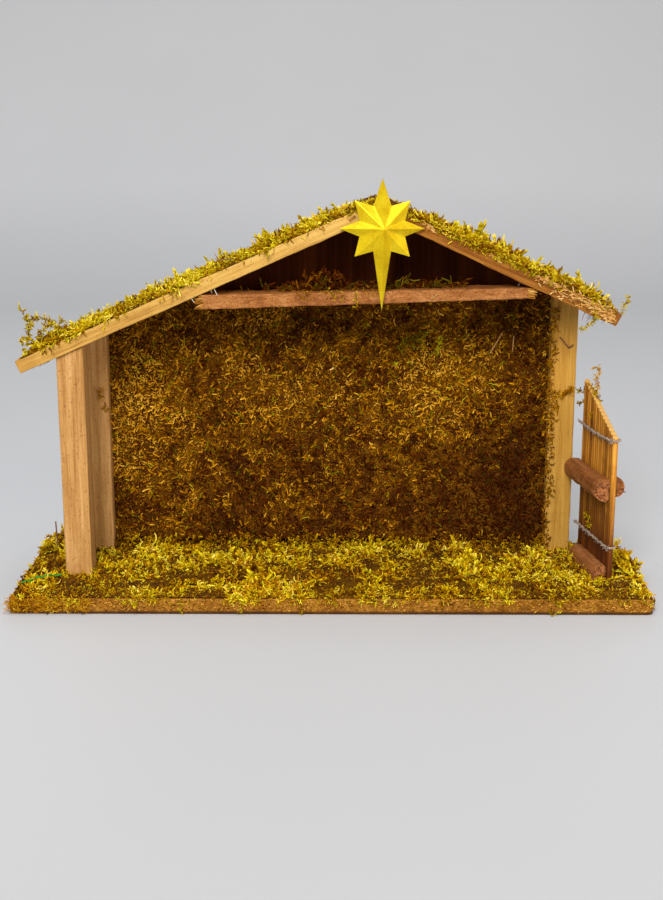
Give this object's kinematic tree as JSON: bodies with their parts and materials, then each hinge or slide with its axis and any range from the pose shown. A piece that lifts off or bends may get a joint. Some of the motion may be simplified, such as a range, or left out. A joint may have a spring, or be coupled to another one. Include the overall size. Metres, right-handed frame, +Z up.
{
  "type": "nativity stable",
  "caption": "Small open-fronted wooden stable with a lopsided gable roof, moss on its roof, floor and back wall, a gold star at the ridge and a reed fence, for standing figures in.",
  "frame": {"origin": "middle of the base board's underside", "axes": "+X to the right along the open front, +Y from the front to the back panel, +Z up"},
  "size_m": [0.332, 0.09, 0.2195],
  "materials": {
    "base_fibreboard": "raw fibreboard with rough sawn edges",
    "post_wood": "raw sawn softwood, fine straight grain",
    "roof_wood": "raw sawn board, honey brown",
    "tie_wood": "rough reddish brown stick",
    "panel_wood": "dark stained board, upright grain",
    "star_gold": "satin gold paint on a moulding",
    "hot_glue": "milky hot glue",
    "twine": "greyish twisted twine",
    "rail_wood": "smooth reddish bark, crumbly sawn ends",
    "nail_steel": "plain wire nails",
    "green_moss": "dried yellow-green moss",
    "brown_moss": "pressed brown-olive moss",
    "reed": "honey brown reed"
  },
  "bodies": {
    "root": {"back_panel": "panel_wood", "base_board": "base_fibreboard", "fence_lower_inner_rail": "rail_wood", "fence_lower_twine": "twine", "fence_reed_01": "reed", "fence_reed_02": "reed", "fence_reed_03": "reed", "fence_reed_04": "reed", "fence_reed_05": "reed", "fence_reed_06": "reed", "fence_reed_07": "reed", "fence_reed_08": "reed", "fence_reed_09": "reed", "fence_reed_10": "reed", "fence_reed_11": "reed", "fence_reed_12": "reed", "fence_reed_13": "reed", "fence_reed_14": "reed", "fence_reed_15": "reed", "fence_reed_16": "reed", "fence_upper_inner_rail": "rail_wood", "fence_upper_outer_rail": "rail_wood", "fence_upper_twine": "twine", "floor_moss": "green_moss", "left_front_post": "post_wood", "left_rear_post": "post_wood", "left_roof_board": "roof_wood", "left_roof_moss": "green_moss", "loft_moss": "green_moss", "panel_nails": "nail_steel", "post_nails": "nail_steel", "right_rear_post": "post_wood", "right_roof_board": "roof_wood", "right_roof_moss": "green_moss", "roof_nails": "nail_steel", "star": "star_gold", "star_glue": "hot_glue", "tie_beam": "tie_wood", "tie_nails": "nail_steel", "wall_moss": "brown_moss"}
  },
  "joints": []
}
